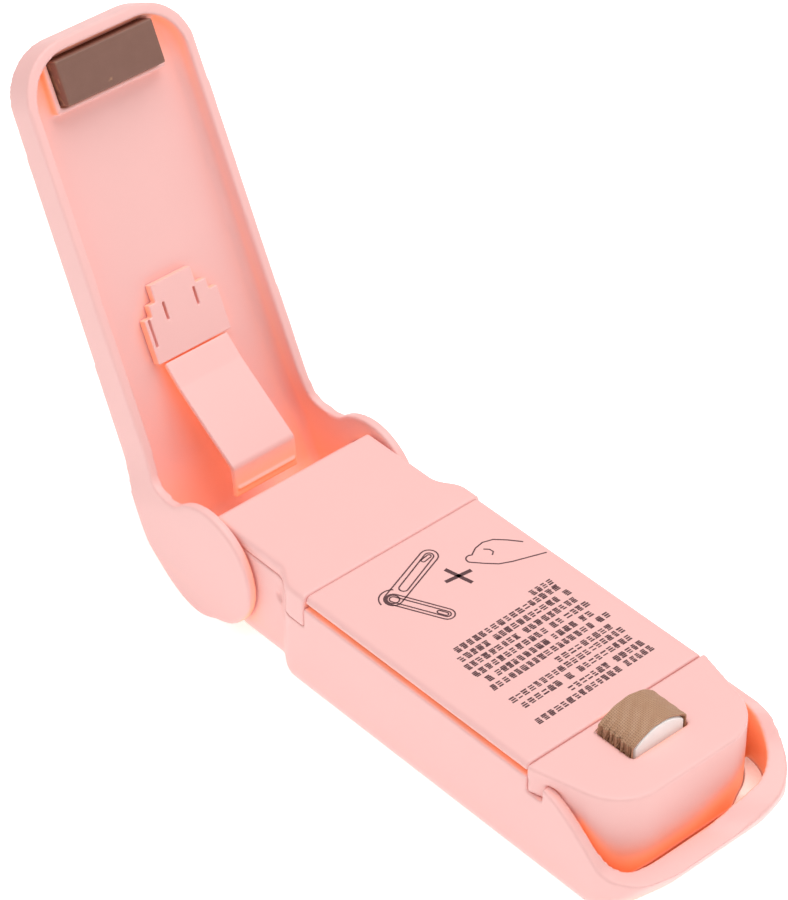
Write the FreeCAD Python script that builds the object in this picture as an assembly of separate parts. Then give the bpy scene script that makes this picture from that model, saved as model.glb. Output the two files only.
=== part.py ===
import FreeCAD, Part
import math
import os
from FreeCAD import Vector

# Handheld bag heat sealer, standing open on its flat base.
# Frame: X runs from the hinge to the sealing head, Y across, Z up.
# Origin: on the flat base, on the centre line, halfway along the closed body.

# ---- driving dimensions, millimetres ----
body_width = 38.0
body_top = 20.6
nose_x = 55.0
wall = 1.8
floor_thick = 1.6
nose_corner_r = 10.5
nose_bow_r = 13.5
base_edge_r = 3.6
rim_side_z = 18.3
rim_nose_z = 9.0
part_gap = 0.3
cover_gap = 0.15
seam_gap = 0.06
nose_thick = 4.2
flare_start_x = -29.5
flare_end_x = -23.0
sweep_start = 4.0
sweep_end = 10.5

hinge_x = -44.7
hinge_z = 11.5
ear_r = 10.5
ear_outer = 18.5
ear_thick = 1.7
barrel_r = 6.0
cheek_r = 6.0
pin_r = 1.5
pin_running_gap = 0.05
pin_half_len = 17.6

neck_half = 16.5
neck_end_x = -25.2
block_seam_z = 18.1
cover_rear_x = -20.0
cover_front_x = 30.8
cover_thick = 1.4
skirt_drop_rear = 14.5
skirt_drop_front = 15.5

head_front_x = 47.6
head_half = 16.6
head_corner_r = 9.0
head_top_r = 2.6
head_wall = 1.6
head_low_z = 3.8

cell_r = 7.25
cell_len = 50.5
cell_nub_len = 1.3
cell_nub_r = 2.7
cell_y = 7.6
cradle_floor = 1.0
bay_rear_x = -23.2
bay_front_x = 31.2
contact_thick = 0.3

heater_x = 36.3
core_half_x = 3.7
core_half_y = 5.1
core_crown = 3.1
core_shoulder = 1.0
key_low_z = 3.4
key_top_z = 8.2
key_gap = 0.2
key_travel = 1.0
key_rear_x = 42.6
key_near_y = 8.0

open_angle = 115.8
arm_len = 86.6
arm_tip_half = 16.9
arm_root_half = 17.4
arm_tip_r = 9.5
rim_v = -9.7
back_v = -15.3
knee_back_v = -16.8
arm_wall = 1.8
pad_centre_u = 79.9
pad_half_u = 3.8
pad_half_y = 9.85
pad_face_v = -9.2

body_half = body_width / 2
cell_z = floor_thick + seam_gap + cradle_floor + part_gap + cell_r
bore_r = pin_r + pin_running_gap
boss_x, boss_y, boss_r = 43.4, 4.4, 2.0
pilot_r = 0.8
dimple_x, dimple_z, dimple_r = -28.8, 13.8, 0.9
web_low_z = 5.6
rib_thick = 2.0
clip_low_v, clip_top_v = -14.15, -12.5
pad_pocket_gap = 0.35
pad_pocket_v = -13.3
cradle_half_y = 15.8
cradle_wall = 0.8
cradle_top_z = 17.2
saddle_z = 7.5
plate_half_y = 5.5
plate_top_z = 15.4
spring_wire_r = 0.3
contact_coil_r = 3.0
contact_turns = 3.5
heater_wire_r = 0.25
heater_coil_r = 2.6
heater_turns = 5.0
lead_r = 0.6
lead_bend_r = 2.0
leaf_half_y = 6.6
leaf_bend_r = 1.44
screw_xs = (-12.0, 20.0)


# ---- helpers ----
def box(x0, x1, y0, y1, z0, z1):
    return Part.makeBox(x1 - x0, y1 - y0, z1 - z0, Vector(x0, y0, z0))


def rod(radius, p0, p1):
    axis = p1 - p0
    return Part.makeCylinder(radius, axis.Length, p0, axis)


def clean(shape):
    return shape.removeSplitter()


def try_fillet(shape, radius, edges):
    """Round the edges where the kernel can, otherwise leave them sharp."""
    try:
        done = shape.makeFillet(radius, edges)
        if done.isValid():
            return done
    except Exception:
        pass
    return shape


def edges_where(shape, test):
    return [e for e in shape.Edges if test(e)]


def at_height(z, tol=0.02):
    def test(edge):
        b = edge.BoundBox
        return abs(b.ZMin - z) < tol and abs(b.ZMax - z) < tol
    return test


def plan_prism(half_rear, half_front, x0, x1, corner_r, z0, z1, taper_end=None):
    """Extruded plan outline: straight rear, two rounded front corners."""
    taper_end = x0 if taper_end is None else taper_end
    xc = x1 - corner_r
    yc = half_front - corner_r
    k = corner_r * math.sqrt(0.5)
    pts = [Vector(x0, -half_rear, z0), Vector(taper_end, -half_front, z0),
           Vector(xc, -half_front, z0), Vector(x1, -yc, z0),
           Vector(x1, yc, z0), Vector(xc, half_front, z0),
           Vector(taper_end, half_front, z0), Vector(x0, half_rear, z0)]
    edges = []
    if taper_end > x0:
        edges.append(Part.LineSegment(pts[0], pts[1]).toShape())
        edges.append(Part.LineSegment(pts[1], pts[2]).toShape())
    else:
        edges.append(Part.LineSegment(pts[1], pts[2]).toShape())
    edges.append(Part.Arc(pts[2], Vector(xc + k, -yc - k, z0), pts[3]).toShape())
    edges.append(Part.LineSegment(pts[3], pts[4]).toShape())
    edges.append(Part.Arc(pts[4], Vector(xc + k, yc + k, z0), pts[5]).toShape())
    edges.append(Part.LineSegment(pts[5], pts[6]).toShape())
    if taper_end > x0:
        edges.append(Part.LineSegment(pts[6], pts[7]).toShape())
        edges.append(Part.LineSegment(pts[7], pts[0]).toShape())
    else:
        edges.append(Part.LineSegment(pts[6], pts[1]).toShape())
    face = Part.Face(Part.Wire(Part.__sortEdges__(edges)))
    return face.extrude(Vector(0, 0, z1 - z0))


def side_prism(outline, half_width):
    """Extrude a closed chain of (x, z) edges across the full width."""
    face = Part.Face(Part.Wire(Part.__sortEdges__(outline)))
    face.translate(Vector(0, -half_width, 0))
    return face.extrude(Vector(0, 2 * half_width, 0))


def xz(x, z):
    return Vector(x, 0, z)


def lines(points):
    return [Part.LineSegment(a, b).toShape() for a, b in zip(points, points[1:])]


def spline(points, start=None, end=None):
    curve = Part.BSplineCurve()
    if start is None:
        curve.interpolate(Points=points)
    else:
        curve.interpolate(Points=points, InitialTangent=start, FinalTangent=end)
    return curve.toShape()


# ---- the body ----
def rim_cutter():
    """Everything above the wall's rim, which sweeps down at the nose."""
    z_top = body_top + 10
    seam_x = cover_rear_x - cover_gap + seam_gap
    head_seam_x = cover_front_x + seam_gap
    drop_x = cover_front_x + 3.5
    low = xz(nose_x - 5.5, rim_nose_z)
    sweep = spline([xz(drop_x, rim_side_z), xz(40.2, 15.4), xz(45.0, 11.4), low],
                   Vector(1, 0, -0.15), Vector(1, 0, -0.05))
    back = [xz(drop_x, z_top), xz(neck_end_x - 30, z_top),
            xz(neck_end_x - 30, block_seam_z - seam_gap),
            xz(neck_end_x, block_seam_z - seam_gap), xz(neck_end_x, skirt_drop_rear - seam_gap),
            xz(seam_x, skirt_drop_rear - seam_gap), xz(seam_x, rim_side_z),
            xz(head_seam_x, rim_side_z), xz(head_seam_x, skirt_drop_front - seam_gap),
            xz(drop_x, skirt_drop_front - seam_gap)]
    rear = side_prism(lines(back + [back[0]]), body_half + 2)
    near = side_prism([sweep] + lines([low, xz(nose_x + 5, rim_nose_z), xz(nose_x + 5, z_top),
                                       xz(drop_x, z_top), xz(drop_x, rim_side_z)]), body_half + 2)
    near = near.common(box(drop_x, nose_x + 6, -body_half - 2, 0, 0, z_top + 1))
    return rear.fuse(near).fuse(far_rim_cutter(z_top, drop_x))


def far_rim_cutter(z_top, drop_x):
    """On the far side the rim stays high and falls diagonally round the corner."""
    points = [xz(-36.8, rim_nose_z), xz(-31.5, 11.2), xz(-26.0, 13.2), xz(-21.8, 14.8),
              xz(-19.4, 16.8), xz(-16.6, rim_side_z)]
    sweep = spline(points, Vector(1, 0, 0.0), Vector(1, 0, 0.1))
    chain = lines([points[-1], xz(20, rim_side_z), xz(20, z_top), xz(-60, z_top),
                   xz(-60, rim_nose_z), points[0]])
    prism = side_prism([sweep] + chain, 80)
    prism.rotate(Vector(0, 0, 0), Vector(0, 0, 1), 135)
    return prism.common(box(drop_x, nose_x + 6, 0, body_half + 2, 0, z_top + 1))


def round_base(shape, z_level, side_r, nose_r, corner_x):
    """Round the bottom edge: small along the sides, growing round the nose."""
    document = FreeCAD.newDocument("base")
    base = document.addObject("Part::Feature", "blank")
    base.Shape = shape
    plan = []
    for number, edge in enumerate(base.Shape.Edges, start=1):
        if not at_height(z_level)(edge):
            continue
        box_x = edge.BoundBox
        if box_x.XLength < 0.02 and box_x.XMin > corner_x:
            plan.append((number, nose_r, nose_r))
        elif box_x.XMin > corner_x - 0.05:
            starts_at_side = edge.Vertexes[0].X < edge.Vertexes[1].X
            radii = (side_r, nose_r) if starts_at_side else (nose_r, side_r)
            plan.append((number,) + radii)
        elif box_x.YLength < 0.02:
            plan.append((number, side_r, side_r))
    rounded = document.addObject("Part::Fillet", "rounded")
    rounded.Base = base
    rounded.Edges = plan
    document.recompute()
    result = rounded.Shape.copy()
    FreeCAD.closeDocument(document.Name)
    return result


def body_wire(inset, nose_inset, x_rear, z):
    """The body's outline at height z: narrow neck, flare, straight sides, round nose."""
    half = body_half - inset
    neck = neck_half - inset
    end_x = nose_x - nose_inset
    corner = corner_radius(inset, nose_inset)
    k = corner * math.sqrt(0.5)
    edges = []
    for s in (1, -1):
        start = Vector(x_rear, s * neck, z)
        a = Vector(flare_start_x, s * neck, z)
        b = Vector(flare_end_x, s * half, z)
        c = Vector(end_x - corner, s * half, z)
        d = Vector(end_x, s * (half - corner), z)
        mid = Vector(end_x - corner + k, s * (half - corner + k), z)
        side = [Part.LineSegment(start, a).toShape(),
                spline([a, b], Vector(10, 0, 0), Vector(10, 0, 0)),
                Part.LineSegment(b, c).toShape(), Part.Arc(c, mid, d).toShape()]
        edges += side if s > 0 else side[::-1]
        if s > 0:
            edges.append(Part.LineSegment(d, Vector(d.x, -d.y, z)).toShape())
    edges.append(Part.LineSegment(Vector(x_rear, -neck, z), Vector(x_rear, neck, z)).toShape())
    return Part.Wire(Part.__sortEdges__(edges))


def corner_radius(inset, nose_inset):
    """Plan radius of the nose corners once the outline is shrunk."""
    return nose_corner_r - 0.45 * (inset + nose_inset)


def body_plan(inset, nose_inset, x_rear, z0, z1):
    """Upright solid on the body's outline between two heights."""
    face = Part.Face(body_wire(inset, nose_inset, x_rear, z0))
    return face.extrude(Vector(0, 0, z1 - z0))


def rear_sweep(lift):
    """Space under the neck, where the base curves up behind the flat."""
    level = hinge_z - 8.2 + lift
    x_rear = hinge_x - 30
    x0 = hinge_x + sweep_start
    x1 = hinge_x + sweep_end
    chain = lines([xz(x_rear, -20), xz(x_rear, level), xz(x0, level)])
    chain.append(spline([xz(x0, level), xz(x0 + 2.6, 1.3 + lift), xz(x1, lift)],
                        Vector(1, 0, 0), Vector(1, 0, 0)))
    chain += lines([xz(x1, lift), xz(x1, -20), xz(x_rear, -20)])
    return side_prism(chain, body_half + 5)


def tub(inset, z0, nose_inset=None):
    """Solid body outline shrunk by inset, from height z0 up, with a rounded base."""
    nose_inset = inset if nose_inset is None else nose_inset
    x_rear = hinge_x if inset == 0 else hinge_x - 20
    main = body_plan(inset, nose_inset, x_rear, z0, body_top + 1)
    bow_r = nose_bow_r - nose_inset * 0.4
    edge_r = max(base_edge_r - inset, 0.8)
    corner_x = nose_x - nose_inset - corner_radius(inset, nose_inset)
    main = round_base(main, z0, edge_r, bow_r, corner_x)
    return main.cut(rear_sweep(z0))


def bottom_casing():
    outer = tub(0.0, 0.0)
    inner = tub(wall, floor_thick, nose_thick)
    shell = outer.cut(inner).cut(rim_cutter())
    inside = neck_half - wall
    for side in (-1, 1):
        y0, y1 = sorted((side * inside, side * neck_half))
        cheek = rod(cheek_r, xz(hinge_x, hinge_z) + Vector(0, y0, 0),
                    xz(hinge_x, hinge_z) + Vector(0, y1, 0))
        shell = shell.fuse(cheek)
    shell = shell.cut(box(hinge_x - 20, hinge_x + 0.4, -inside, inside, -5, body_top + 5))
    shell = shell.cut(rod(bore_r, xz(hinge_x, hinge_z) + Vector(0, -30, 0),
                          xz(hinge_x, hinge_z) + Vector(0, 30, 0)))
    for x in screw_xs:
        shell = shell.cut(rod(pilot_r, Vector(x, 0, 0.6), Vector(x, 0, 5)))
    spring_seat = Part.makeCylinder(2.0, 1.4, Vector(heater_x, 0, floor_thick - 0.1))
    shell = shell.fuse(spring_seat)
    for side in (-1, 1):
        y = side * boss_y
        boss = Part.makeCylinder(boss_r, 4.0, Vector(boss_x, y, floor_thick - 0.1))
        pilot = rod(pilot_r, Vector(boss_x, y, 2.5), Vector(boss_x, y, 9))
        shell = shell.fuse(boss).cut(pilot)
        dimple = rod(dimple_r, Vector(dimple_x, side * (neck_half - 0.5), dimple_z),
                     Vector(dimple_x, side * (neck_half + 2), dimple_z))
        shell = shell.cut(dimple)
    return clean(shell)


def hinge_block():
    solid = body_plan(0.04, 0.04, hinge_x + 0.3, 0, body_top)
    end_x = cover_rear_x - cover_gap
    plate = solid.common(box(hinge_x, end_x, -30, 30, block_seam_z, body_top))
    long_top = [e for e in edges_where(plate, at_height(body_top)) if e.BoundBox.XLength > 1]
    plate = try_fillet(plate, 0.9, long_top)
    walls = solid.cut(body_plan(wall, wall, hinge_x - 20, -1, body_top + 1))
    skirt = walls.common(box(neck_end_x + seam_gap, end_x, -30, 30, skirt_drop_rear,
                             block_seam_z + 0.5))
    inner = neck_half - wall - part_gap / 2
    barrel = rod(barrel_r, xz(hinge_x, hinge_z) + Vector(0, -inner, 0),
                 xz(hinge_x, hinge_z) + Vector(0, inner, 0))
    web_top = block_seam_z + 0.5
    web = box(hinge_x + 0.6, hinge_x + 3.4, -inner, inner, web_low_z, web_top)
    shelf = box(hinge_x + 0.6, hinge_x + 12.0, -inner, inner, web_low_z, web_low_z + 1.6)
    block = plate.fuse(skirt).fuse(barrel).fuse(web).fuse(shelf)
    for y in (-inner, -rib_thick / 2, inner - rib_thick):
        block = block.fuse(box(hinge_x + 3, hinge_x + 12, y, y + rib_thick, web_low_z, web_top))
    block = block.cut(rod(bore_r, xz(hinge_x, hinge_z) + Vector(0, -30, 0),
                          xz(hinge_x, hinge_z) + Vector(0, 30, 0)))
    return clean(block)


def head_block():
    x0 = cover_front_x + seam_gap
    taper = cover_front_x + 9.0
    outer = plan_prism(body_half - 0.1, head_half, x0, head_front_x, head_corner_r,
                       0, body_top, taper)
    top = [e for e in edges_where(outer, at_height(body_top)) if e.BoundBox.XMax > x0 + 1]
    outer = try_fillet(outer, head_top_r, top)
    inner = plan_prism(body_half - wall - 0.4, head_half - head_wall, x0 - 5,
                       head_front_x - head_wall, head_corner_r - head_wall,
                       -1, body_top - head_wall, taper)
    room = side_prism(lines([xz(0, head_low_z), xz(45.4, head_low_z), xz(48.2, head_low_z + 2.6),
                             xz(48.2, body_top), xz(0, body_top), xz(0, head_low_z)]),
                      body_half - wall - seam_gap)
    skirt = box(x0 + seam_gap, cover_front_x + 3.4, -body_half, body_half, skirt_drop_front,
                body_top)
    crown = box(x0, head_front_x, -body_half, body_half, rim_side_z + seam_gap, body_top)
    kept = outer.common(room.fuse(skirt).fuse(crown))
    hood = kept.cut(inner)
    slot_x = core_half_x + 0.3
    slot_y = core_half_y + 0.9
    hood = hood.cut(box(heater_x - slot_x, heater_x + slot_x, -slot_y, slot_y, 10, body_top + 1))
    for y in (-slot_y - 1.6, slot_y):
        hood = hood.fuse(box(heater_x - slot_x, heater_x + slot_x, y, y + 1.6,
                             body_top - 5.0, body_top - 0.8))
    for side in (-1, 1):
        y = side * boss_y
        post = Part.makeCylinder(boss_r, body_top - 9.0, Vector(boss_x, y, 8.5))
        hood = hood.fuse(post).cut(rod(pilot_r, Vector(boss_x, y, 7), Vector(boss_x, y, 14)))
    return clean(hood)


def battery_cover():
    x0 = cover_rear_x
    x1 = cover_front_x - cover_gap
    half = body_half - 0.5
    plate = box(x0, x1, -half, half, body_top - cover_thick, body_top)
    sides = [e for e in edges_where(plate, at_height(body_top)) if e.BoundBox.YLength < 0.02]
    plate = try_fillet(plate, 1.0, sides)
    low = body_top - cover_thick - 0.9
    for y in (-16.4, -0.4, 15.6):
        for x in (x0 + 3.0, (x0 + x1) / 2 - 3.0, x1 - 9.0):
            plate = plate.fuse(box(x, x + 6.0, y, y + 0.8, low, body_top - cover_thick + 0.2))
    return clean(plate)


def cell_cradle():
    z0 = floor_thick + seam_gap
    x0 = bay_rear_x - 1.0
    x1 = bay_front_x + cradle_wall
    base = box(x0, x1, -cradle_half_y, cradle_half_y, z0, z0 + cradle_floor)
    rear = box(x0, bay_rear_x, -cradle_half_y, cradle_half_y, z0, cradle_top_z)
    front = box(bay_front_x, x1, -cradle_half_y, cradle_half_y, z0, cradle_top_z)
    rib = box(bay_rear_x, bay_front_x, -0.25, 0.25, z0, 7.0)
    saddles = rib
    for x in (-16.0, 4.0, 22.0):
        for side in (-1, 1):
            y0, y1 = sorted((side * 0.2, side * 16.0))
            blank = box(x, x + 1.6, y0, y1, z0, saddle_z)
            clearance = rod(cell_r + part_gap, Vector(x - 1, side * cell_y, cell_z),
                            Vector(x + 3, side * cell_y, cell_z))
            saddles = saddles.fuse(blank.cut(clearance))
    tray = base.fuse(rear).fuse(front).fuse(saddles)
    for x in screw_xs:
        tray = tray.cut(rod(2.1, Vector(x, 0, z0 + cradle_floor), Vector(x, 0, 9)))
        tray = tray.cut(rod(1.05, Vector(x, 0, 0), Vector(x, 0, 9)))
    return clean(tray.common(tub(wall + seam_gap, z0)))


def cell(side):
    """One AA cell; the left one points forward, the right one back."""
    y = side * cell_y
    body_len = cell_len - cell_nub_len
    start = bay_rear_x + contact_thick + 0.05
    if side > 0:
        can_x0 = start + cell_nub_len
        nub_x0 = start
    else:
        can_x0 = bay_front_x - contact_thick - 0.05 - cell_len
        nub_x0 = can_x0 + body_len
    can = Part.makeCylinder(cell_r, body_len, Vector(can_x0, y, cell_z), Vector(1, 0, 0))
    can = try_fillet(can, 0.6, [e for e in can.Edges if e.Length > 40])
    nub = Part.makeCylinder(cell_nub_r, cell_nub_len, Vector(nub_x0, y, cell_z), Vector(1, 0, 0))
    return can, nub


def coil(radius, wire_r, length, turns, base, axis):
    """Open coil of round wire from base along axis."""
    helix = Part.makeHelix(length / turns, length, radius)
    ring = Part.Circle(Vector(radius, 0, 0), Vector(0, 1, 0), wire_r).toShape()
    spring = Part.Wire(helix).makePipeShell([Part.Wire(ring)], True, True)
    spring.Placement = FreeCAD.Placement(base, FreeCAD.Rotation(Vector(0, 0, 1), axis))
    return spring


def contact_spring(side):
    """Negative contact spring between the bay wall and the cell's flat end."""
    wire_r = spring_wire_r
    gap = 0.05
    if side > 0:
        x_wall = bay_front_x - contact_thick
        x_cell = bay_rear_x + contact_thick + gap + cell_len
    else:
        x_wall = bay_rear_x + contact_thick
        x_cell = bay_front_x - contact_thick - gap - cell_len
    length = abs(x_wall - x_cell) - 2 * (wire_r + gap)
    start = min(x_wall, x_cell) + wire_r + gap
    return coil(contact_coil_r, wire_r, length, contact_turns,
                Vector(start, side * cell_y, cell_z), Vector(1, 0, 0))


def front_plate(side):
    x1 = bay_front_x
    return box(x1 - contact_thick, x1, side * cell_y - plate_half_y,
               side * cell_y + plate_half_y, 4.4, plate_top_z)


def bridge_plate():
    half = cell_y + plate_half_y
    return box(bay_rear_x, bay_rear_x + contact_thick, -half, half, 7.4, plate_top_z)


def screw(x, y, z_head, length, head_r=1.9, shank_r=0.95):
    head = Part.makeCylinder(head_r, 1.0, Vector(x, y, z_head))
    cross = box(x - 1.1, x + 1.1, y - 0.2, y + 0.2, z_head + 0.6, z_head + 2)
    cross = cross.fuse(box(x - 0.2, x + 0.2, y - 1.1, y + 1.1, z_head + 0.6, z_head + 2))
    shank = Part.makeCylinder(shank_r, length + 0.05, Vector(x, y, z_head - length))
    return clean(head.fuse(shank).cut(cross))


def cradle_screws():
    z = floor_thick + seam_gap + cradle_floor
    solids = []
    for x in screw_xs:
        solids.append(screw(x, 0, z, 1.9, 1.9, 0.78))
    return Part.makeCompound(solids)


# ---- the heater ----
def heater_core():
    z0 = body_top - 1.2
    crown = body_top + core_crown
    edge = body_top + core_shoulder
    pts = [Vector(0, -core_half_y, z0), Vector(0, -core_half_y, edge),
           Vector(0, core_half_y, edge), Vector(0, core_half_y, z0)]
    arc = Part.Arc(pts[1], Vector(0, 0, crown), pts[2]).toShape()
    edges = lines(pts[:2]) + [arc] + lines([pts[2], pts[3], pts[0]])
    face = Part.Face(Part.Wire(edges))
    face.translate(Vector(heater_x - core_half_x, 0, 0))
    return face.extrude(Vector(2 * core_half_x, 0, 0))


def arched_strip(lift, thick, half_x, x_mid, foot_z, spread):
    """A strip laid over the core's crown and turned down at both ends."""
    def outline(off):
        y = core_half_y + spread + off
        top = body_top + core_crown + lift + off
        shoulder = body_top + core_shoulder + lift + off
        arc = Part.Arc(Vector(0, -y, shoulder), Vector(0, 0, top), Vector(0, y, shoulder)).toShape()
        return y, shoulder, arc
    y0, s0, arc0 = outline(0.0)
    y1, s1, arc1 = outline(thick)
    a, b = Vector(0, y0, s0), Vector(0, y0, foot_z)
    c, d = Vector(0, y1, foot_z), Vector(0, y1, s1)
    e, f = Vector(0, -y1, s1), Vector(0, -y1, foot_z)
    g, h = Vector(0, -y0, foot_z), Vector(0, -y0, s0)
    edges = [arc0, arc1] + lines([a, b, c, d]) + lines([e, f, g, h])
    face = Part.Face(Part.Wire(Part.__sortEdges__(edges)))
    face.translate(Vector(x_mid - half_x, 0, 0))
    return face.extrude(Vector(2 * half_x, 0, 0))


def heater_wire():
    return arched_strip(0.06, 0.16, 1.0, heater_x, body_top - 1.2, 0.08)


def heater_cloth():
    return arched_strip(0.28, 0.28, core_half_x, heater_x, body_top - 2.4, 0.30)


def heater_carriage():
    z_top = body_top - 1.25
    post = box(heater_x - core_half_x + 0.3, heater_x + core_half_x - 0.3,
               -core_half_y, core_half_y, 11.0, z_top)
    plate = box(heater_x - core_half_x, heater_x + core_half_x, -8.6, 8.6, 9.6, 11.2)
    guide = Part.makeCylinder(1.4, 4.0, Vector(heater_x, 0, 5.8))
    return clean(post.fuse(plate).fuse(guide))


def heater_spring():
    z0 = floor_thick + 0.35 + heater_wire_r
    return coil(heater_coil_r, heater_wire_r, 9.25 - z0, heater_turns,
                Vector(heater_x, 0, z0), Vector(0, 0, 1))


def switch_blade():
    return box(heater_x - 1.2, heater_x + 1.2, 5.9, 8.4, 9.2, 9.55)


def switch_contact():
    foot = box(heater_x - 1.6, heater_x + 1.6, 5.9, 9.6, floor_thick + 0.05, floor_thick + 0.45)
    post = box(heater_x - 1.2, heater_x + 1.2, 6.4, 7.9, floor_thick + 0.3, 7.4)
    return clean(foot.fuse(post))


def tube(points, radius, bend):
    """Round wire: straight runs joined by tangent arcs of one bend radius."""
    edges = []
    here = points[0]
    for prev, corner, nxt in zip(points, points[1:], points[2:]):
        a = (prev - corner).normalize()
        b = (nxt - corner).normalize()
        half = a.getAngle(b) / 2
        reach = bend / math.tan(half)
        p0 = corner + a * reach
        p1 = corner + b * reach
        mid_dir = (a + b).normalize()
        centre = corner + mid_dir * (bend / math.sin(half))
        mid = centre - mid_dir * bend
        edges.append(Part.LineSegment(here, p0).toShape())
        edges.append(Part.Arc(p0, mid, p1).toShape())
        here = p1
    edges.append(Part.LineSegment(here, points[-1]).toShape())
    path = Part.Wire(edges)
    start = points[0]
    direction = (points[1] - start).normalize()
    profile = Part.Wire(Part.Circle(start, direction, radius).toShape())
    return path.makePipeShell([profile], True, False)


def lead_wire(side):
    """Insulated lead from the front contact wall round the heater spring."""
    z = floor_thick + 1.0
    y_far = 13.2 if side > 0 else 12.4
    pts = [Vector(33.0, side * 13.0, z + 6), Vector(33.0, side * 13.2, z),
           Vector(39.9, side * y_far, z), Vector(39.9, side * 5.2, z)]
    return tube(pts, lead_r, lead_bend_r)


# ---- the safety key in the corner of the nose trough ----
def safety_key():
    """White key between the head's far corner and the trough wall, pressed down."""
    gap = key_gap
    plan = body_plan(wall + gap, nose_thick + gap, hinge_x, key_low_z, key_top_z)
    head = plan_prism(head_half + gap, head_half + gap, 0, head_front_x + gap,
                      head_corner_r + gap, 0, body_top)
    key = plan.cut(head).common(box(key_rear_x, nose_x, key_near_y, body_half, 0, body_top))
    room = tub(wall + gap, 0, nose_thick + gap)
    room.translate(Vector(0, 0, floor_thick + key_travel + gap))
    key = key.common(room)
    return clean(try_fillet(key, 0.3, edges_where(key, at_height(key_top_z))))


# ---- the arm, drawn closed-flat in its own plane then turned open ----
def arm_place(shape):
    """From the arm's own axes (along, across, out) to the open pose."""
    along = Vector(math.cos(math.radians(open_angle)), 0, math.sin(math.radians(open_angle)))
    out = Vector(math.sin(math.radians(open_angle)), 0, -math.cos(math.radians(open_angle)))
    across = Vector(0, -1, 0)
    m = FreeCAD.Matrix(along.x, across.x, out.x, hinge_x,
                       along.y, across.y, out.y, 0,
                       along.z, across.z, out.z, hinge_z,
                       0, 0, 0, 1)
    placed = shape.copy()
    placed.Placement = FreeCAD.Placement(m)
    return placed


def arm_side_outline(grow):
    """Side outline of the arm: knee, back, tip, rim and ear, inset by grow."""
    g = grow
    knee = [xz(-ear_r + g, -3.0), xz(-10.1 + g, -7.3 + g * 0.3),
            xz(-5.2 + g * 0.72, -13.1 + g * 0.72), xz(0.6 + g * 0.3, -16.0 + g * 0.95),
            xz(6.0, knee_back_v + g)]
    back = spline(knee, Vector(0, 0, -1), Vector(1, 0, 0.0))
    flat = Part.LineSegment(xz(6.0, knee_back_v + g), xz(arm_len - g, back_v + g)).toShape()
    return back, flat


def arm_outer():
    back, flat = arm_side_outline(0.0)
    tip = lines([xz(arm_len, back_v), xz(arm_len, rim_v), xz(14.6, rim_v)])
    into_ear = spline([xz(14.6, rim_v), xz(11.3, -7.6), xz(9.9, -3.6)],
                      Vector(-1, 0, 0), Vector(0.1, 0, 1))
    ear_line = Part.Arc(xz(9.9, -3.6), xz(0, ear_r), xz(-ear_r, -3.0)).toShape()
    return side_prism([back, flat] + tip + [into_ear, ear_line], body_half)


def arm_plan(inset, v0, v1):
    """Plan of the arm: rounded tip, slight taper, flaring out to the ears."""
    r = arm_tip_r - inset * 0.8
    xt = arm_len - inset
    w_tip = arm_tip_half - inset
    w_root = arm_root_half - inset
    w_ear = ear_outer - min(inset, ear_thick)
    k = r * math.sqrt(0.5)
    half = []
    for s in (-1, 1):
        ear = [Vector(-14, s * w_ear, v0), Vector(8.5, s * w_ear, v0)]
        flare = spline([ear[1], Vector(13.5, s * (w_ear * 0.45 + w_root * 0.55), v0),
                        Vector(20, s * w_root, v0)],
                       Vector(1, 0, 0), Vector(1, 0, 0))
        edges = lines(ear) + [flare]
        edges += lines([Vector(20, s * w_root, v0), Vector(xt - r, s * w_tip, v0)])
        edges.append(Part.Arc(Vector(xt - r, s * w_tip, v0),
                              Vector(xt - r + k, s * (w_tip - r + k), v0),
                              Vector(xt, s * (w_tip - r), v0)).toShape())
        half += edges
    half += lines([Vector(xt, -w_tip + r, v0), Vector(xt, w_tip - r, v0)])
    half += lines([Vector(-14, -w_ear, v0), Vector(-14, w_ear, v0)])
    face = Part.Face(Part.Wire(Part.__sortEdges__(half)))
    return face.extrude(Vector(0, 0, v1 - v0))


def arm_shell():
    outer = arm_outer().common(arm_plan(0.0, -25, 15))
    back_edges = [e for e in outer.Edges
                  if e.BoundBox.ZMax < -14.6 and e.Length > 3]
    outer = try_fillet(outer, 3.0, back_edges)
    back, flat = arm_side_outline(arm_wall)
    end = xz(arm_len - arm_wall, back_v + arm_wall)
    chain = [back, flat] + lines([end, xz(arm_len + 5, back_v + arm_wall), xz(arm_len + 5, 20),
                                  xz(-20, 20), xz(-20, -3.0), xz(-ear_r + arm_wall, -3.0)])
    hollow = side_prism(chain, body_half + 5).common(arm_plan(arm_wall, -25, 25))
    floor_edges = [e for e in hollow.Edges if e.BoundBox.ZMax < -12.5
                   and e.BoundBox.XMin > 15 and e.Length > 3]
    hollow = try_fillet(hollow, 1.6, floor_edges)
    shell = outer.cut(hollow)
    pin_hole = rod(pin_r, Vector(0, -pin_half_len, 0), Vector(0, pin_half_len, 0))
    shell = shell.cut(pin_hole)
    u0 = pad_centre_u - pad_half_u - pad_pocket_gap
    u1 = pad_centre_u + pad_half_u + pad_pocket_gap
    y0 = pad_half_y + pad_pocket_gap
    frame = box(u0 - 0.8, u1 + 0.6, -y0 - 0.9, y0 + 0.9, -14.4, -11.4)
    frame = frame.common(arm_plan(arm_wall - 0.3, -25, 25))
    frame = frame.cut(box(u0, u1, -y0, y0, pad_pocket_v, 0))
    return clean(shell.fuse(frame))


def seal_pad():
    pad = box(pad_centre_u - pad_half_u, pad_centre_u + pad_half_u, -pad_half_y, pad_half_y,
              pad_pocket_v + 0.1, pad_face_v)
    return try_fillet(pad, 0.35, edges_where(pad, at_height(pad_face_v)))


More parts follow.
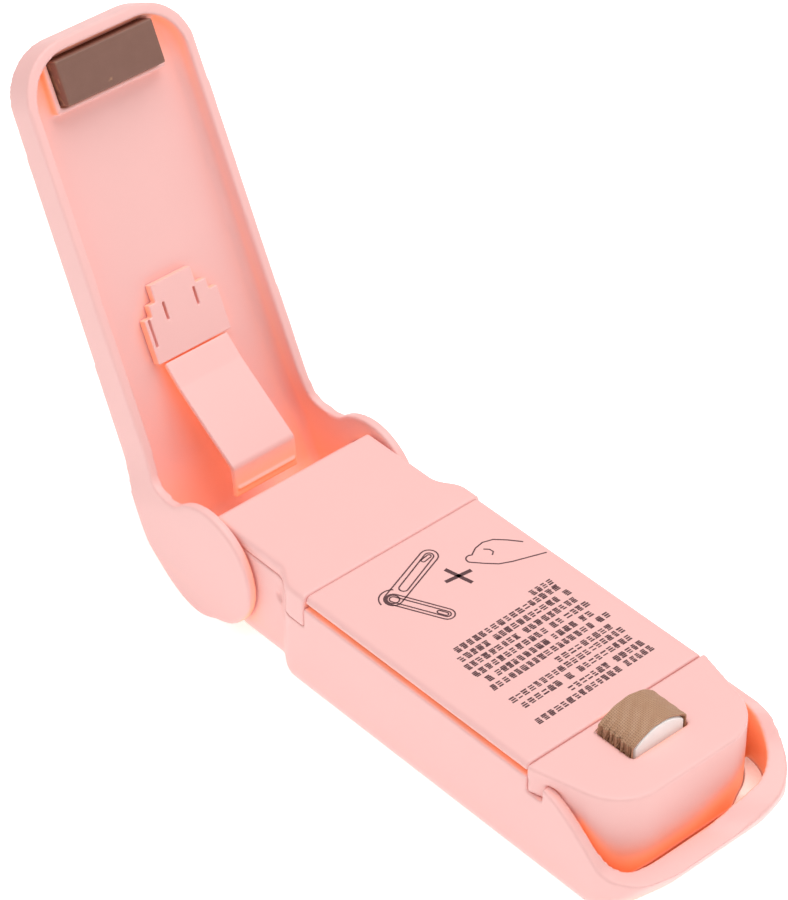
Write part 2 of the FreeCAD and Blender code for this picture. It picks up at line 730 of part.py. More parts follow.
def leaf_clip():
    z0, z1 = clip_low_v, clip_top_v
    base = box(29.8, 39.6, -7.7, 7.7, z0, z1)
    tab = box(39.4, 42.6, -3.9, 4.6, z0, z1)
    clip = base.fuse(tab)
    for y in (-3.2, 3.2):
        clip = clip.cut(box(36.0, 39.2, y - 0.25, y + 0.25, z0 - 1, z1 + 1))
    for side in (-1, 1):
        y0, y1 = sorted((side * 6.0, side * 9.0))
        clip = clip.cut(box(37.6, 41, y0, y1, z0 - 1, z1 + 1))
    clip = clip.cut(box(32.6, 37.5, 6.6, 7.1, z0 + 0.6, z1 + 1))
    return clean(clip)


def return_leaf():
    top = [xz(29.6, -12.4), xz(25.3, -10.5), xz(11.4, -2.4), xz(6.0, -4.3)]
    low = [xz(6.2, -5.2), xz(11.3, -3.5), xz(25.0, -11.4), xz(29.1, -13.35)]
    chain = lines(top + low + [top[0]])
    leaf = side_prism(chain, leaf_half_y)
    cross = [e for e in leaf.Edges if abs(e.BoundBox.YLength - 2 * leaf_half_y) < 0.05
             and 8 < e.BoundBox.XMin < 12]
    leaf = try_fillet(leaf, leaf_bend_r, cross)
    lip = box(7.2, 7.7, -6.0, 6.0, -4.3, -3.45)
    return clean(leaf.fuse(lip))


def hinge_pin():
    a = xz(hinge_x, hinge_z) + Vector(0, -pin_half_len + 0.05, 0)
    b = xz(hinge_x, hinge_z) + Vector(0, pin_half_len - 0.05, 0)
    return rod(pin_r, a, b)


def main():
    os.makedirs("parts", exist_ok=True)
    left_can, left_nub = cell(-1)
    right_can, right_nub = cell(1)
    nodes = {
        "bottom_casing": bottom_casing(),
        "hinge_block": hinge_block(),
        "head_block": head_block(),
        "battery_cover": battery_cover(),
        "cell_cradle": cell_cradle(),
        "cradle_screws": cradle_screws(),
        "cell_left_can": left_can,
        "cell_left_terminal": left_nub,
        "cell_right_can": right_can,
        "cell_right_terminal": right_nub,
        "contact_spring_rear": contact_spring(-1),
        "contact_spring_front": contact_spring(1),
        "contact_plate_left": front_plate(-1),
        "contact_plate_right": front_plate(1),
        "bridge_plate": bridge_plate(),
        "heater_carriage": heater_carriage(),
        "heater_core": heater_core(),
        "heater_wire": heater_wire(),
        "heater_cloth": heater_cloth(),
        "heater_spring": heater_spring(),
        "switch_blade": switch_blade(),
        "switch_contact": switch_contact(),
        "lead_wire_left": lead_wire(-1),
        "lead_wire_right": lead_wire(1),
        "safety_key": safety_key(),
        "arm_shell": arm_place(arm_shell()),
        "seal_pad": arm_place(seal_pad()),
        "leaf_clip": arm_place(leaf_clip()),
        "return_leaf": arm_place(return_leaf()),
        "hinge_pin": hinge_pin(),
    }
    for name, shape in nodes.items():
        solids = shape.Solids
        print(name, "solids", len(solids), "valid", shape.isValid(),
              "volume", round(shape.Volume, 1))
        out = solids[0] if len(solids) == 1 else shape
        out.exportStep("parts/" + name + ".step")


main()
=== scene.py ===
import math
import random

import bmesh
import bpy
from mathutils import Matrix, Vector


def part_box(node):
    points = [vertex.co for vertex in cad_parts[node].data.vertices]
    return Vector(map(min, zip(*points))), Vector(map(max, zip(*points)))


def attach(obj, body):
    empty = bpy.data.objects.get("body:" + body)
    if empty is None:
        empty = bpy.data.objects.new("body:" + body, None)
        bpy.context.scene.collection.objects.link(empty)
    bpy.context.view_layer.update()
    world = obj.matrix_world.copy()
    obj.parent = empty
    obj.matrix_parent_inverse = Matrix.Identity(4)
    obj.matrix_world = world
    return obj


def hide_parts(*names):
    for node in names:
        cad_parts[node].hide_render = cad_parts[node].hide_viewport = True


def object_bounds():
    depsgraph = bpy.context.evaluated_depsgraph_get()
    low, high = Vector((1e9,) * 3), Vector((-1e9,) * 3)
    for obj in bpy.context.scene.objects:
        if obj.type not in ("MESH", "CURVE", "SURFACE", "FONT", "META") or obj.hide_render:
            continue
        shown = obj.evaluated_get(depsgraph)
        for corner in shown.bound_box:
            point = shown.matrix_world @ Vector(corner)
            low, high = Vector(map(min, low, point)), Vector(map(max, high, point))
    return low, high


# A handheld bag heat sealer standing open. Metres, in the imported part's frame.
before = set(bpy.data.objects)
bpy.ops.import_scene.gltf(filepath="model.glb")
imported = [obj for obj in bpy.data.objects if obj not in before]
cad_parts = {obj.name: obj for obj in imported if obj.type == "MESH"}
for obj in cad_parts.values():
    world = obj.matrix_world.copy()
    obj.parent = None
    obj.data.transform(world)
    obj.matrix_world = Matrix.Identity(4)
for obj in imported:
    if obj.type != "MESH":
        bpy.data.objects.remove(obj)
cad_low, cad_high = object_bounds()

MM = 0.001
scene = bpy.context.scene
collection = scene.collection
random.seed(7)

# How far the plastic looks for shade: into a recess, and across a hairline seam.
RECESS_REACH = 14 * MM
SEAM_REACH = 0.9 * MM
# Height above the floor within which the floor's own shade is ignored.
FLOOR_BAND = 10 * MM
# Openness at which the painted glow in a recess starts, peaks and ends.
GLOW_START, GLOW_PEAK, GLOW_END = 0.10, 0.27, 0.62
# Scale times pitch of a band texture, and the cloth's thread pitch in millimetres.
WAVE_UNIT = 0.3142
THREAD_PITCH = 0.34


# ---------------------------------------------------------------- node helpers
def new_material(name):
    material = bpy.data.materials.new(name)
    material.use_nodes = True
    tree = material.node_tree
    tree.nodes.clear()
    out = tree.nodes.new("ShaderNodeOutputMaterial")
    shader = tree.nodes.new("ShaderNodeBsdfPrincipled")
    tree.links.new(shader.outputs["BSDF"], out.inputs["Surface"])
    return material, tree, shader


def object_coordinates(tree, scale=1.0):
    """Object coordinates in millimetres times scale."""
    coords = tree.nodes.new("ShaderNodeTexCoord")
    mapping = tree.nodes.new("ShaderNodeMapping")
    mapping.inputs["Scale"].default_value = (scale / MM,) * 3
    tree.links.new(coords.outputs["Object"], mapping.inputs["Vector"])
    return mapping.outputs["Vector"]


def noise(tree, vector, scale, detail=3.0, roughness=0.5):
    node = tree.nodes.new("ShaderNodeTexNoise")
    node.inputs["Scale"].default_value = scale
    node.inputs["Detail"].default_value = detail
    node.inputs["Roughness"].default_value = roughness
    tree.links.new(vector, node.inputs["Vector"])
    return node.outputs["Fac"]


def ramp(tree, value, low, high, low_colour, high_colour):
    node = tree.nodes.new("ShaderNodeValToRGB")
    node.color_ramp.elements[0].position = low
    node.color_ramp.elements[1].position = high
    node.color_ramp.elements[0].color = (*low_colour, 1)
    node.color_ramp.elements[1].color = (*high_colour, 1)
    tree.links.new(value, node.inputs["Fac"])
    return node.outputs["Color"]


def grey(value):
    return (value, value, value)


def mix_colour(tree, factor, a, b, mode="MIX"):
    node = tree.nodes.new("ShaderNodeMix")
    node.data_type = "RGBA"
    node.blend_type = mode
    for socket, source in ((node.inputs["Factor"], factor), (node.inputs["A"], a),
                           (node.inputs["B"], b)):
        if isinstance(source, bpy.types.NodeSocket):
            tree.links.new(source, socket)
        elif isinstance(source, tuple):
            socket.default_value = (*source, 1)
        else:
            socket.default_value = source
    return node.outputs["Result"]


def bump(tree, shader, height, strength, distance):
    node = tree.nodes.new("ShaderNodeBump")
    node.inputs["Strength"].default_value = strength
    node.inputs["Distance"].default_value = distance
    tree.links.new(height, node.inputs["Height"])
    tree.links.new(node.outputs["Normal"], shader.inputs["Normal"])
    return node


def math_node(tree, operation, a, b):
    node = tree.nodes.new("ShaderNodeMath")
    node.operation = operation
    for socket, source in ((node.inputs[0], a), (node.inputs[1], b)):
        if isinstance(source, bpy.types.NodeSocket):
            tree.links.new(source, socket)
        else:
            socket.default_value = source
    return node.outputs["Value"]


# ---------------------------------------------------------------- materials
def painted_recess_glow(tree, occlusion, colour, strength):
    """Painted glow: emission in a recess that stands in for light bounced around inside it."""
    node = tree.nodes.new("ShaderNodeValToRGB")
    elements = node.color_ramp.elements
    elements[0].position, elements[0].color = GLOW_START, (*grey(0.0), 1)
    elements[1].position, elements[1].color = GLOW_END, (*grey(0.0), 1)
    middle = elements.new(GLOW_PEAK)
    middle.color = (*grey(1.0), 1)
    tree.links.new(occlusion, node.inputs["Fac"])
    return mix_colour(tree, node.outputs["Color"], grey(0.0), tuple(c * strength for c in colour))


def sky_seen(tree):
    """How open a point is, ignoring hairline seams and the shade of the floor."""
    seen = []
    for reach in (RECESS_REACH, SEAM_REACH):
        node = tree.nodes.new("ShaderNodeAmbientOcclusion")
        node.samples = 6
        node.inputs["Distance"].default_value = reach
        seen.append(node.outputs["AO"])
    groove = ramp(tree, seen[1], 0.45, 0.80, grey(0.55), grey(0.0))
    place = tree.nodes.new("ShaderNodeNewGeometry")
    split = tree.nodes.new("ShaderNodeSeparateXYZ")
    tree.links.new(place.outputs["Position"], split.inputs["Vector"])
    height = math_node(tree, "DIVIDE", split.outputs["Z"], FLOOR_BAND)
    base = ramp(tree, height, 0.12, 0.45, grey(0.7), grey(0.0))
    return math_node(tree, "ADD", math_node(tree, "ADD", seen[0], groove), base)


def plastic(name, colour, painted_recess_tone, roughness=0.42, glow=0.42, painted_glow_colour=None):
    """Satin moulded plastic: fine spark texture, with painted shade that turns enclosed places a
    warmer orange and a painted glow there.
    """
    material, tree, shader = new_material(name)
    vector = object_coordinates(tree)
    cloud = noise(tree, vector, 0.09, 2.0)
    grain = noise(tree, vector, 5.5, 3.0, 0.6)
    fine = noise(tree, vector, 14.0, 2.0)
    base = mix_colour(tree, cloud, colour, tuple(c * 0.975 for c in colour))
    painted_shade_mask = sky_seen(tree)
    # Painted shade: where the point is enclosed the base colour turns to the warmer recess tone.
    base = mix_colour(tree, ramp(tree, painted_shade_mask, 0.10, 0.56, grey(0.0), grey(1.0)), painted_recess_tone, base)
    tree.links.new(base, shader.inputs["Base Color"])
    # Painted glow: enclosed places emit a warm colour that stands in for light bounced inside them.
    painted_glow_emission = painted_recess_glow(tree, painted_shade_mask, painted_glow_colour or painted_recess_tone, glow)
    tree.links.new(painted_glow_emission, shader.inputs["Emission Color"])
    shader.inputs["Emission Strength"].default_value = 1.0
    rough = ramp(tree, grain, 0.3, 0.7, grey(roughness - 0.04), grey(roughness + 0.05))
    tree.links.new(rough, shader.inputs["Roughness"])
    shader.inputs["Specular IOR Level"].default_value = 0.35
    height = math_node(tree, "ADD", grain, math_node(tree, "MULTIPLY", fine, 0.5))
    bump(tree, shader, height, 0.12, 0.02 * MM)
    return material


def silicone(name):
    """Matte brown silicone, a little paler along its sharp convex edges."""
    material, tree, shader = new_material(name)
    vector = object_coordinates(tree)
    cloud = noise(tree, vector, 0.35, 3.0)
    speck = noise(tree, vector, 9.0, 4.0, 0.7)
    base = mix_colour(tree, cloud, (0.190, 0.088, 0.062), (0.225, 0.108, 0.080))
    base = mix_colour(tree, ramp(tree, speck, 0.45, 0.75, grey(0.0), grey(0.35)), base,
                      (0.28, 0.155, 0.120))
    geometry = tree.nodes.new("ShaderNodeNewGeometry")
    edge = ramp(tree, geometry.outputs["Pointiness"], 0.52, 0.60, grey(0.0), grey(0.7))
    base = mix_colour(tree, edge, base, (0.42, 0.22, 0.13))
    tree.links.new(base, shader.inputs["Base Color"])
    tree.links.new(ramp(tree, speck, 0.2, 0.8, grey(0.5), grey(0.68)), shader.inputs["Roughness"])
    bump(tree, shader, speck, 0.25, 0.03 * MM)
    return material


def weave(tree, vector, pitch, axis):
    """A height field of parallel threads, one pitch apart, in millimetres."""
    wave = tree.nodes.new("ShaderNodeTexWave")
    wave.wave_type = "BANDS"
    wave.bands_direction = axis
    wave.inputs["Scale"].default_value = WAVE_UNIT / pitch
    wave.inputs["Distortion"].default_value = 0.35
    wave.inputs["Detail"].default_value = 2.0
    wave.inputs["Detail Scale"].default_value = 1.5
    tree.links.new(vector, wave.inputs["Vector"])
    return wave.outputs["Fac"]


def glass_cloth(name):
    """Tan PTFE-coated glass cloth in a fine plain weave."""
    material, tree, shader = new_material(name)
    vector = object_coordinates(tree)
    warp = weave(tree, vector, THREAD_PITCH, "X")
    weft = weave(tree, vector, THREAD_PITCH, "Y")
    threads = math_node(tree, "MAXIMUM", warp, weft)
    cloud = noise(tree, vector, 0.8, 4.0, 0.6)
    base = mix_colour(tree, threads, (0.235, 0.118, 0.062), (0.55, 0.315, 0.185))
    base = mix_colour(tree, ramp(tree, cloud, 0.35, 0.75, grey(0.0), grey(0.6)), base,
                      (0.40, 0.205, 0.115))
    tree.links.new(base, shader.inputs["Base Color"])
    tree.links.new(ramp(tree, threads, 0.0, 1.0, grey(0.72), grey(0.45)),
                   shader.inputs["Roughness"])
    bump(tree, shader, threads, 0.6, 0.05 * MM)
    return material


def ceramic_white(name):
    material, tree, shader = new_material(name)
    vector = object_coordinates(tree)
    cloud = noise(tree, vector, 0.6, 4.0)
    pits = noise(tree, vector, 7.0, 3.0, 0.65)
    base = mix_colour(tree, cloud, (0.93, 0.91, 0.88), (0.96, 0.95, 0.93))
    tree.links.new(base, shader.inputs["Base Color"])
    tree.links.new(ramp(tree, pits, 0.2, 0.8, grey(0.5), grey(0.7)), shader.inputs["Roughness"])
    # Painted glow: a faint even emission brightens the white core, which is no lamp.
    shader.inputs["Emission Color"].default_value = (1.0, 0.97, 0.93, 1)
    shader.inputs["Emission Strength"].default_value = 0.12
    bump(tree, shader, pits, 0.3, 0.04 * MM)
    return material


def metal(name, colour, roughness, stretch=(1, 14, 1)):
    """Drawn or plated metal with fine lines."""
    material, tree, shader = new_material(name)
    coords = tree.nodes.new("ShaderNodeTexCoord")
    mapping = tree.nodes.new("ShaderNodeMapping")
    mapping.inputs["Scale"].default_value = tuple(s / MM for s in stretch)
    tree.links.new(coords.outputs["Object"], mapping.inputs["Vector"])
    lines = noise(tree, mapping.outputs["Vector"], 1.2, 4.0)
    base = mix_colour(tree, lines, tuple(c * 0.86 for c in colour), colour)
    tree.links.new(base, shader.inputs["Base Color"])
    shader.inputs["Metallic"].default_value = 1.0
    tree.links.new(ramp(tree, lines, 0.25, 0.8, grey(roughness * 0.8), grey(roughness * 1.35)),
                   shader.inputs["Roughness"])
    bump(tree, shader, lines, 0.15, 0.01 * MM)
    return material


def cell_sleeve(name, flip):
    """Plain shrink sleeve with one pale band by the positive end."""
    material, tree, shader = new_material(name)
    coords = tree.nodes.new("ShaderNodeTexCoord")
    split = tree.nodes.new("ShaderNodeSeparateXYZ")
    tree.links.new(coords.outputs["Generated"], split.inputs["Vector"])
    along = split.outputs["X"]
    if flip:
        along = math_node(tree, "SUBTRACT", 1.0, along)
    band = ramp(tree, along, 0.715, 0.72, (0.03, 0.055, 0.05), (0.62, 0.47, 0.24))
    vector = object_coordinates(tree)
    speck = noise(tree, vector, 3.0, 3.0)
    base = mix_colour(tree, ramp(tree, speck, 0.3, 0.8, grey(0.0), grey(0.2)), band,
                      (0.1, 0.1, 0.1))
    tree.links.new(base, shader.inputs["Base Color"])
    shader.inputs["Metallic"].default_value = 0.3
    tree.links.new(ramp(tree, speck, 0.2, 0.8, grey(0.22), grey(0.34)), shader.inputs["Roughness"])
    bump(tree, shader, speck, 0.05, 0.02 * MM)
    return material


def ink(name):
    """Dark maroon pad-printing ink with tiny breaks."""
    material, tree, shader = new_material(name)
    vector = object_coordinates(tree)
    breaks = noise(tree, vector, 4.5, 3.0, 0.7)
    base = mix_colour(tree, breaks, (0.055, 0.020, 0.024), (0.15, 0.060, 0.066))
    tree.links.new(base, shader.inputs["Base Color"])
    tree.links.new(ramp(tree, breaks, 0.2, 0.8, grey(0.4), grey(0.55)), shader.inputs["Roughness"])
    bump(tree, shader, breaks, 0.1, 0.01 * MM)
    return material


def insulation(name, colour):
    material, tree, shader = new_material(name)
    vector = object_coordinates(tree)
    grain = noise(tree, vector, 3.0, 3.0)
    base = mix_colour(tree, grain, colour, tuple(c * 0.8 for c in colour))
    tree.links.new(base, shader.inputs["Base Color"])
    tree.links.new(ramp(tree, grain, 0.2, 0.8, grey(0.35), grey(0.5)), shader.inputs["Roughness"])
    bump(tree, shader, grain, 0.1, 0.02 * MM)
    return material


# PINK is the plastic's own colour; the recess tones, glow tones and glow strengths here are painted
# recess shade and painted glow.
PINK = (0.94, 0.545, 0.515)
PAINTED_RECESS_TONE = (1.0, 0.41, 0.19)
PAINTED_GLOW_TONE = (1.0, 0.30, 0.12)
pink = plastic("pink_plastic", PINK, PAINTED_RECESS_TONE, painted_glow_colour=PAINTED_GLOW_TONE)
pink_inner = plastic("pink_inner_plastic", (0.92, 0.50, 0.45), (0.95, 0.20, 0.09), 0.5, 0.12)
brown_pad = silicone("brown_silicone")
cloth = glass_cloth("ptfe_cloth")
core_white = ceramic_white("core_white")
key_white = plastic("white_plastic", (0.95, 0.935, 0.91), (0.93, 0.87, 0.82), 0.3, 0.25,
                    (1.0, 0.94, 0.90))
steel = metal("steel", (0.66, 0.66, 0.67), 0.28)
spring_metal = metal("spring_wire", (0.60, 0.60, 0.61), 0.3, (6, 6, 6))
nickel = metal("nickel_plate", (0.74, 0.72, 0.68), 0.22)
nichrome = metal("nichrome", (0.42, 0.38, 0.35), 0.35)
brass = metal("brass", (0.76, 0.56, 0.25), 0.3)
maroon_ink = ink("maroon_ink")


# ---------------------------------------------------------------- mesh helpers
def add_object(name, mesh, material):
    obj = bpy.data.objects.new(name, mesh)
    collection.objects.link(obj)
    obj.data.materials.clear()
    obj.data.materials.append(material)
    return obj


def shade_smooth(obj):
    for polygon in obj.data.polygons:
        polygon.use_smooth = True


def settle(obj):
    """Put the modifiers' result into the mesh itself."""
    bpy.context.view_layer.update()
    depsgraph = bpy.context.evaluated_depsgraph_get()
    mesh = bpy.data.meshes.new_from_object(obj.evaluated_get(depsgraph))
    old = obj.data
    obj.modifiers.clear()
    obj.data = mesh
    bpy.data.meshes.remove(old)


def moulded(name, node, body, material, voxel=0.32, passes=5, keep=0.45):
    """A skin over a CAD node with soft edges; voxel is in millimetres, keep is a share of faces."""
    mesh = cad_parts[node].data.copy()
    mesh.name = name
    obj = add_object(name, mesh, material)
    remesh = obj.modifiers.new("remesh", "REMESH")
    remesh.mode = "VOXEL"
    remesh.voxel_size = voxel * MM
    smooth = obj.modifiers.new("smooth", "SMOOTH")
    smooth.factor = 0.5
    smooth.iterations = passes
    thin = obj.modifiers.new("thin", "DECIMATE")
    thin.ratio = keep
    settle(obj)
    shade_smooth(obj)
    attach(obj, body)
    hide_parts(node)
    return obj


def build_mouldings():
    moulded("casing_moulding", "bottom_casing", "casing", pink, 0.32, 3)
    moulded("arm_moulding", "arm_shell", "arm", pink)
    moulded("head_moulding", "head_block", "casing", pink, 0.3)
    moulded("hinge_moulding", "hinge_block", "casing", pink, 0.3, 2)
    moulded("cover_moulding", "battery_cover", "cover", pink, 0.28, 3)
    moulded("leaf_moulding", "return_leaf", "leaf", pink, 0.18, 3)
    moulded("clip_moulding", "leaf_clip", "arm", pink, 0.14, 2)
    moulded("pad_moulding", "seal_pad", "arm", brown_pad, 0.18, 2)
    moulded("core_moulding", "heater_core", "heater", core_white, 0.16, 3)
    strip = moulded("cloth_strip", "heater_cloth", "heater", cloth, 0.09, 2, 0.6)
    crumple_cloth(strip)
    key = moulded("key_moulding", "safety_key", "key", key_white, 0.16, 3)
    slope_key(key)


KEY_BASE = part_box("safety_key")[0][2]
SLOPE_FROM, SLOPE_LENGTH, SLOPE_DEPTH = 11.0, 3.0, 0.75


def slope_key(obj):
    """The key's near end falls away under the rim instead of ending in a step."""
    for vertex in obj.data.vertices:
        fall = min(max((SLOPE_FROM - vertex.co.y / MM) / SLOPE_LENGTH, 0.0), 1.0)
        rise = vertex.co.z - KEY_BASE
        vertex.co.z -= rise * SLOPE_DEPTH * fall * fall
    obj.data.update()


# ---------------------------------------------------------------- cover print
COVER_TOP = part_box("battery_cover")[1][2]
INK_SINK, INK_RISE = 0.06 * MM, 0.035 * MM


def ribbon(bm, points, width, closed=False):
    """A flat printed stroke along points, in millimetres on the cover's top."""
    count = len(points)
    sides = []
    for i, here in enumerate(points):
        before = points[i - 1] if i > 0 or closed else here
        after = points[(i + 1) % count] if i < count - 1 or closed else here
        run = (after - before).normalized()
        sides.append(Vector((-run.y, run.x)) * width / 2)
    rings = []
    for here, side in zip(points, sides):
        ring = []
        for flat, z in ((here + side, COVER_TOP - INK_SINK), (here - side, COVER_TOP - INK_SINK),
                        (here - side, COVER_TOP + INK_RISE), (here + side, COVER_TOP + INK_RISE)):
            ring.append(bm.verts.new((flat.x * MM, flat.y * MM, z)))
        rings.append(ring)
    spans = list(zip(rings, rings[1:])) + ([(rings[-1], rings[0])] if closed else [])
    for a, b in spans:
        for k in range(4):
            bm.faces.new((a[k], a[(k + 1) % 4], b[(k + 1) % 4], b[k]))
    if not closed:
        bm.faces.new(rings[0][::-1])
        bm.faces.new(rings[-1])


def printed(name, strokes):
    """One print piece from (points, width, closed) strokes."""
    bm = bmesh.new()
    for points, width, closed in strokes:
        ribbon(bm, [Vector(p) for p in points], width, closed)
    bmesh.ops.recalc_face_normals(bm, faces=bm.faces)
    mesh = bpy.data.meshes.new(name)
    bm.to_mesh(mesh)
    bm.free()
    obj = add_object(name, mesh, maroon_ink)
    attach(obj, "cover")
    return obj


def stadium(a, b, half):
    """A long rounded outline about the line from a to b."""
    a, b = Vector(a), Vector(b)
    run = (b - a).normalized()
    side = Vector((-run.y, run.x))
    points = []
    for end, way in ((b, 1), (a, -1)):
        for step in range(9):
            turn = math.pi * step / 8
            points.append(end + half * way * (side * math.cos(turn) + run * math.sin(turn)))
    return points


def arc_points(centre, radius, start, end, steps=14):
    return [Vector(centre) + radius * Vector((math.cos(t), math.sin(t)))
            for t in (start + (end - start) * i / steps for i in range(steps + 1))]


def build_pictogram():
    """Generic drawing: an open clip, a cross and a rounded pointer."""
    hinge, low_tip, high_tip = (-10.4, -8.6), (-2.2, -4.6), (-14.4, 2.6)
    thin, thick = 0.24, 0.72
    strokes = [(stadium(hinge, low_tip, 1.25), thin, True),
               (stadium(hinge, low_tip, 0.62), thin, True),
               (stadium(hinge, high_tip, 1.5), thin, True),
               (stadium((-11.3, -5.6), high_tip, 0.75), thin, True),
               (stadium((-3.4, -5.2), (-2.3, -4.7), 0.34), 0.22, True),
               (stadium((-14.2, 1.2), (-14.4, 2.6), 0.34), 0.22, True),
               (arc_points(hinge, 1.0, 0, 2 * math.pi, 20)[:-1], thin, True),
               (arc_points(hinge, 2.3, 2.4, 4.6), thin, False),
               ([(-10.3, 2.3), (-5.1, 3.4)], thick, False),
               ([(-7.4, 5.3), (-8.0, 0.3)], thick, False)]
    tip = arc_points((-9.4, 7.2), 0.9, -0.35 * math.pi, -1.25 * math.pi)
    top = [(-10.9, 9.4), (-11.2, 11.2), (-10.6, 13.0), (-9.0, 14.6), (-7.0, 16.2)]
    low = [(-7.3, 7.9), (-5.6, 9.6), (-4.6, 11.6), (-3.6, 14.4), (-2.6, 17.2)]
    strokes.append(([tuple(p) for p in low[::-1]] + [tuple(p) for p in tip] + top, thin, False))
    strokes.append(([(-9.9, 10.2), (-9.2, 10.9), (-8.4, 11.0), (-7.9, 10.3)], thin, False))
    printed("print_pictogram", strokes)


def build_print_rows():
    """Rows of short dashes where the real cover has small print."""
    rows = ((3.0, 8.4, 12.4), (5.0, -9.6, 12.8), (7.0, -10.6, 12.6), (9.0, -11.0, 12.8),
            (11.0, -11.2, 13.2), (13.0, -10.4, 12.4), (15.0, -11.2, 13.4), (17.0, 0.6, 12.6),
            (19.0, -11.0, 12.9), (21.0, -10.4, 13.6), (23.0, -2.4, 13.0), (25.0, -11.2, 12.8))
    strokes = []
    for x_row, y_start, y_end in rows:
        y = y_start
        heavy = random.random()
        while y < y_end:
            cell = random.uniform(0.95, 1.25)
            lines = random.choice((3, 4, 4)) if heavy > 0.25 else random.choice((2, 3, 3))
            lean = 0.05 * (y - y_start)
            for k in range(lines):
                x = x_row - 0.68 + 1.36 * (k + 0.5) / lines - lean * 0.4
                inset = random.uniform(0.0, 0.20)
                y0, y1 = y + inset, y + cell - random.uniform(0.0, 0.20)
                strokes.append(([(x, y0), (x, y1)], random.uniform(0.21, 0.32), False))
            y += cell + random.uniform(0.12, 0.28)
            if random.random() < 0.07:
                y += random.uniform(0.6, 1.2)
            if random.random() < 0.2:
                heavy = random.random()
    printed("print_rows", strokes)


# ---------------------------------------------------------------- heater cloth
THREADS = 46


def crumple_cloth(obj):
    """The strip's near end is pinched into pleats where it is tucked into the slot."""
    top_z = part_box("heater_cloth")[1][2]
    for vertex in obj.data.vertices:
        place = vertex.co / MM
        reach = min(max((-place.y - 3.0) / 3.0, 0.0), 1.0)
        reach = reach * reach * (3 - 2 * reach)
        pleat = math.sin(place.x * 5.2 + 0.6 * math.sin(place.x * 2.1))
        pleat += 0.4 * math.sin(place.x * 11.0)
        low_end = min(max((top_z / MM - 1.6 - place.z) / 2.2, 0.0), 1.0) * reach
        push = Vector((0.0, -1.0, 0.25)) * ((0.17 * pleat + 0.10) * reach + 0.22 * pleat * low_end)
        sag = 0.05 * math.sin(place.x * 3.1 + place.y * 2.0) * (1.0 - reach)
        vertex.co += (push + Vector((0, 0, sag if place.z * MM > top_z - 3 * MM else 0.0))) * MM
    obj.data.update()


def build_fray():
    """Loose glass threads at the cut near end of the strip."""
    low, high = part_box("heater_cloth")
    bm = bmesh.new()
    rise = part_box("head_block")[1][2] + 0.1 * MM
    for _ in range(THREADS):
        x = random.uniform(low[0] + 0.2 * MM, high[0] - 0.2 * MM)
        y = low[1] + random.uniform(0.0, 0.5) * MM
        start = Vector((x, y, rise + random.uniform(0.3, 1.5) * MM))
        lean = Vector((random.uniform(-0.5, 0.5), random.uniform(-1.0, -0.35), 0)) * MM
        radius = random.uniform(0.035, 0.06) * MM
        points = []
        for step in range(6):
            t = step / 5
            drop = (start.z - rise) * t ** 1.6
            points.append(start + lean * t - Vector((0, 0, drop)))
        rings = []
        for p in points:
            rings.append([bm.verts.new(p + Vector((math.cos(a), math.sin(a), 0.3)) * radius)
                          for a in (k * math.pi / 2 for k in range(4))])
        for a, b in zip(rings, rings[1:]):
            for k in range(4):
                bm.faces.new((a[k], a[(k + 1) % 4], b[(k + 1) % 4], b[k]))
        bm.faces.new(rings[0][::-1])
        bm.faces.new(rings[-1])
    bmesh.ops.recalc_face_normals(bm, faces=bm.faces)
    mesh = bpy.data.meshes.new("cloth_fray")
    bm.to_mesh(mesh)
    bm.free()
    fray = add_object("cloth_fray", mesh, cloth)
    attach(fray, "heater")


def finish_cad_nodes():
    """Better finishes for the CAD nodes that stay."""
    finishes = {
        "cell_cradle": pink_inner, "heater_carriage": pink_inner, "hinge_pin": steel,
        "cradle_screws": steel, "cell_left_can": cell_sleeve("cell_sleeve_left", False),
        "cell_right_can": cell_sleeve("cell_sleeve_right", True),
        "cell_left_terminal": nickel, "cell_right_terminal": nickel,
        "contact_spring_rear": spring_metal, "contact_spring_front": spring_metal,
        "contact_plate_left": nickel, "contact_plate_right": nickel, "bridge_plate": nickel,
        "heater_wire": nichrome, "heater_spring": spring_metal,
        "switch_blade": brass, "switch_contact": brass,
        "lead_wire_left": insulation("lead_black", (0.03, 0.03, 0.032)),
        "lead_wire_right": insulation("lead_red", (0.62, 0.05, 0.04)),
    }
    for node, material in finishes.items():
        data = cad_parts[node].data
        data.materials.clear()
        data.materials.append(material)


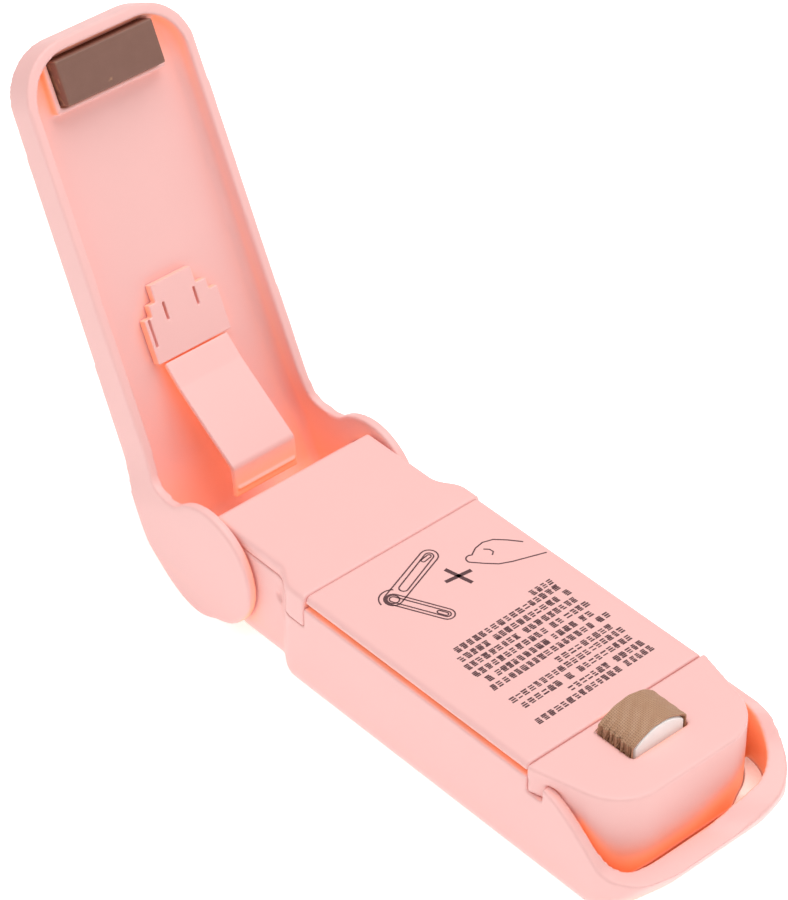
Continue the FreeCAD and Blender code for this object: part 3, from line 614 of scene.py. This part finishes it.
# ---------------------------------------------------------------- stage
def build_stage():
    reach = 3.0
    mesh = bpy.data.meshes.new("floor")
    mesh.from_pydata([(-reach, -reach, 0), (reach, -reach, 0), (reach, reach, 0), (-reach, reach, 0)],
                     [], [(0, 1, 2, 3)])
    material, _, shader = new_material("studio_floor")
    shader.inputs["Base Color"].default_value = (0.95, 0.95, 0.95, 1)
    shader.inputs["Roughness"].default_value = 0.9
    shader.inputs["Emission Color"].default_value = (1, 1, 1, 1)
    shader.inputs["Emission Strength"].default_value = 0.58
    floor = add_object("studio_floor", mesh, material)
    floor.location.z = cad_low.z - 0.00002
    world = bpy.data.worlds.new("studio")
    scene.world = world
    world.use_nodes = True
    background = world.node_tree.nodes["Background"]
    background.inputs["Color"].default_value = (1, 1, 1, 1)
    background.inputs["Strength"].default_value = 0.36


def add_softbox(name, place, aim, size, power):
    light = bpy.data.lights.new(name, "AREA")
    light.shape = "RECTANGLE"
    light.size, light.size_y = size
    light.energy = power
    obj = bpy.data.objects.new(name, light)
    collection.objects.link(obj)
    obj.location = place
    obj.rotation_mode = "QUATERNION"
    obj.rotation_quaternion = (Vector(aim) - Vector(place)).to_track_quat("-Z", "Y")


def build_lights():
    centre = (0.0, 0.0, 0.03)
    add_softbox("key_softbox", (-0.25, -0.55, 0.75), centre, (0.6, 0.6), 0.8)
    add_softbox("fill_softbox", (0.75, -0.2, 0.5), centre, (0.5, 0.5), 0.5)
    add_softbox("top_softbox", (0.05, 0.15, 0.9), centre, (0.8, 0.8), 6.6)


def build_camera():
    azimuth, elevation = math.radians(48.19), math.radians(38.9)
    target = Vector((-19.84, 0.0, 40.41)) * MM
    distance = 578.1 * MM
    back = Vector((math.sin(azimuth) * math.cos(elevation),
                   -math.cos(azimuth) * math.cos(elevation), math.sin(elevation)))
    data = bpy.data.cameras.new("camera")
    data.lens = 148.1
    data.sensor_width = 36.0
    data.clip_start, data.clip_end = 0.01, 20.0
    camera = bpy.data.objects.new("camera", data)
    collection.objects.link(camera)
    camera.location = target + back * distance
    camera.rotation_mode = "QUATERNION"
    camera.rotation_quaternion = (-back).to_track_quat("-Z", "Y")
    scene.camera = camera
    scene.view_settings.view_transform = "Standard"
    scene.view_settings.look = "None"


build_mouldings()
build_pictogram()
build_print_rows()
build_fray()
finish_cad_nodes()
build_stage()
build_lights()
build_camera()
